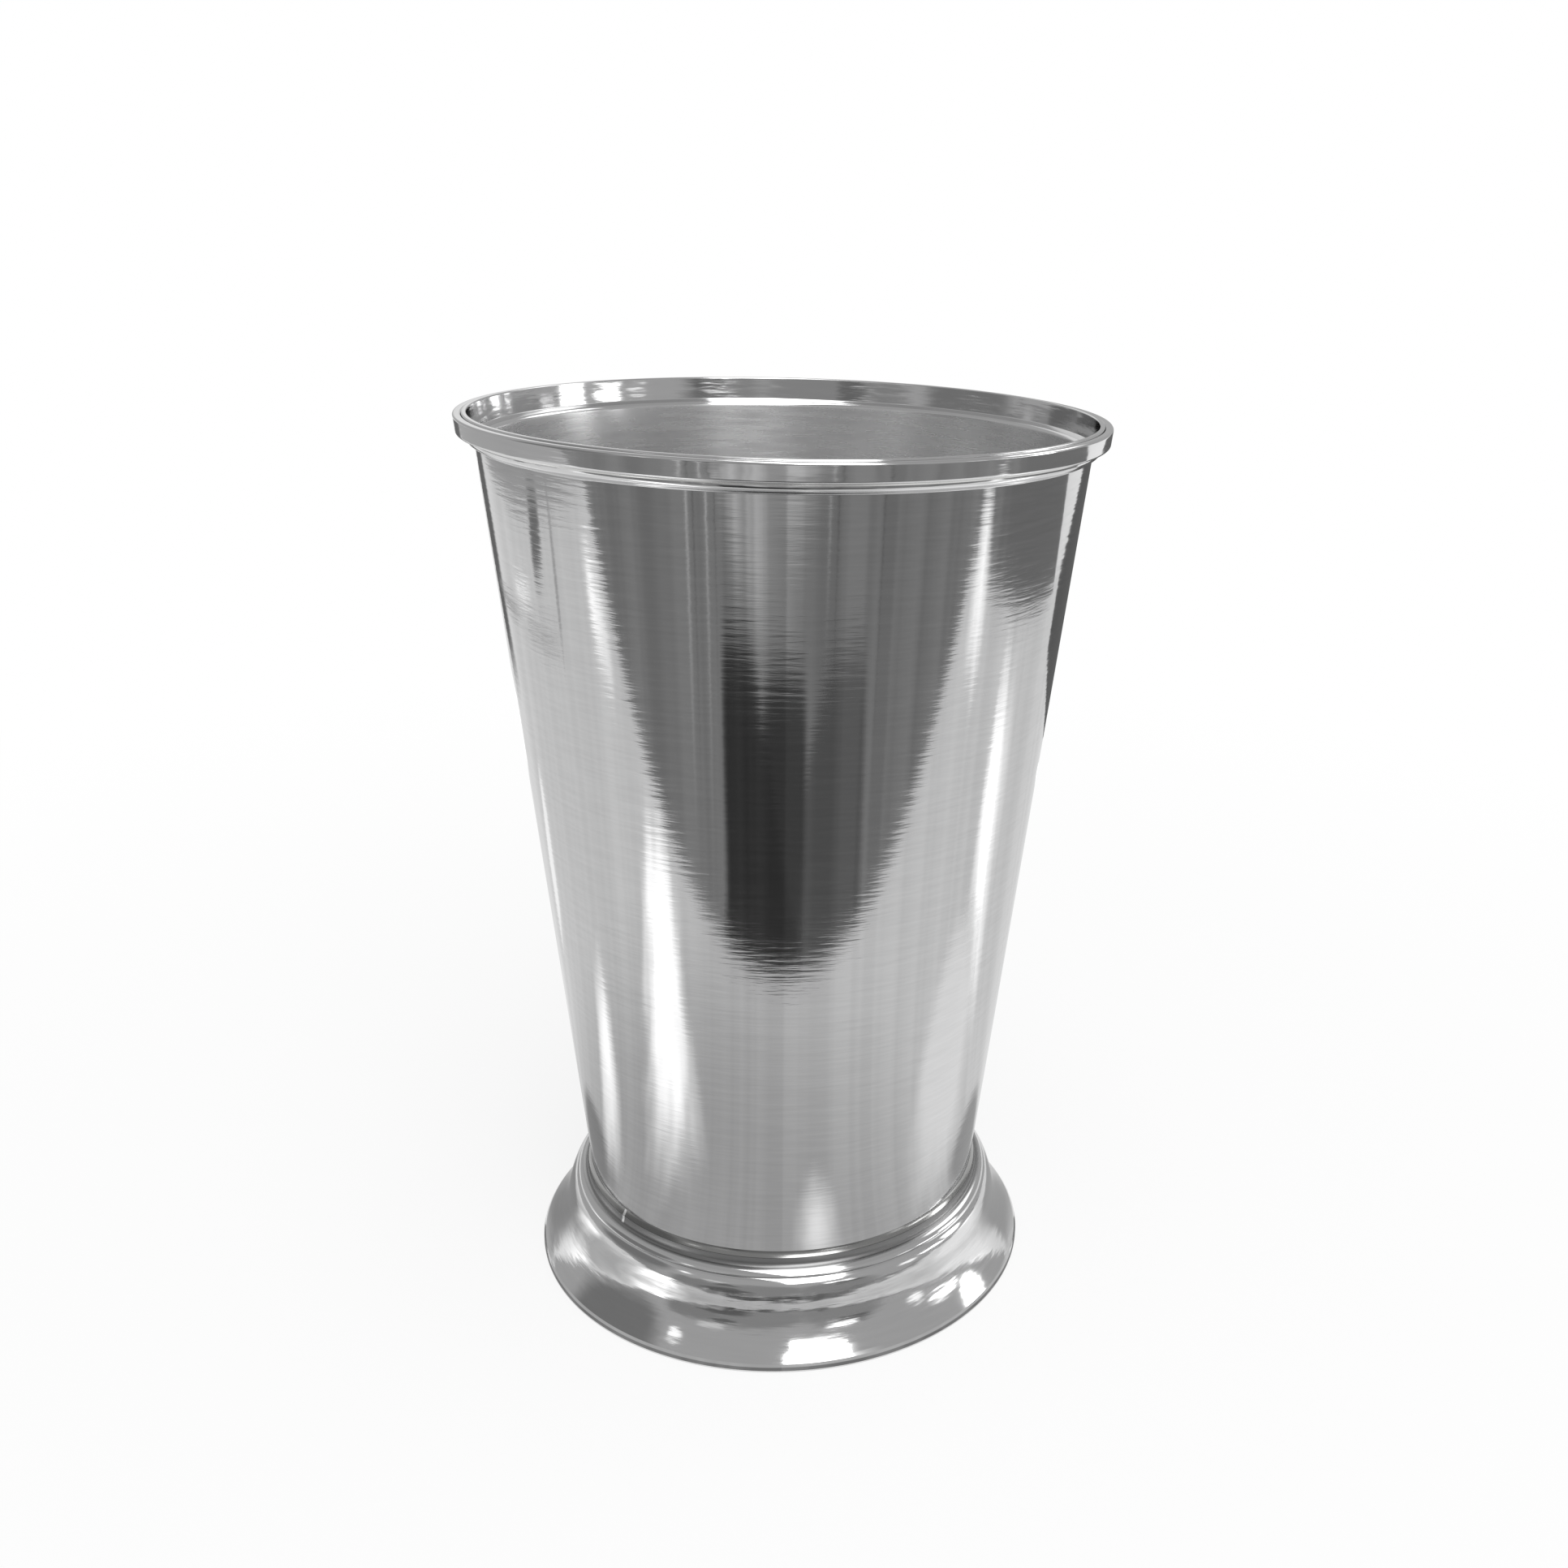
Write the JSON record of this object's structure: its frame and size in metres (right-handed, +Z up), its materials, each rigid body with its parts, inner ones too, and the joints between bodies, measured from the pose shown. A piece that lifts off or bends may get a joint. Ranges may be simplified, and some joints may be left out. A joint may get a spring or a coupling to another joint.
{
  "type": "julep cup",
  "caption": "Footed julep cup in brushed metal: tapered sheet wall, banded rim, grooved collar and hollow flared foot.",
  "frame": {"origin": "on the cup's axis at the plane of the foot's hem", "axes": "+Z up along the cup's axis, from the foot to the rim"},
  "size_m": [0.0786, 0.0786, 0.1143],
  "materials": {
    "brushed_steel": "brushed round the axis, satin",
    "polished_steel": "polished, with faint buffing marks",
    "solder": "smooth soft solder, wiped bright"
  },
  "bodies": {
    "root": {"body_wall": "brushed_steel", "floor_disc": "brushed_steel", "rim_band": "polished_steel", "foot_collar": "polished_steel", "foot_ring": "polished_steel", "rim_solder": "solder", "collar_solder": "solder", "foot_solder": "solder", "floor_solder": "solder"}
  },
  "joints": []
}
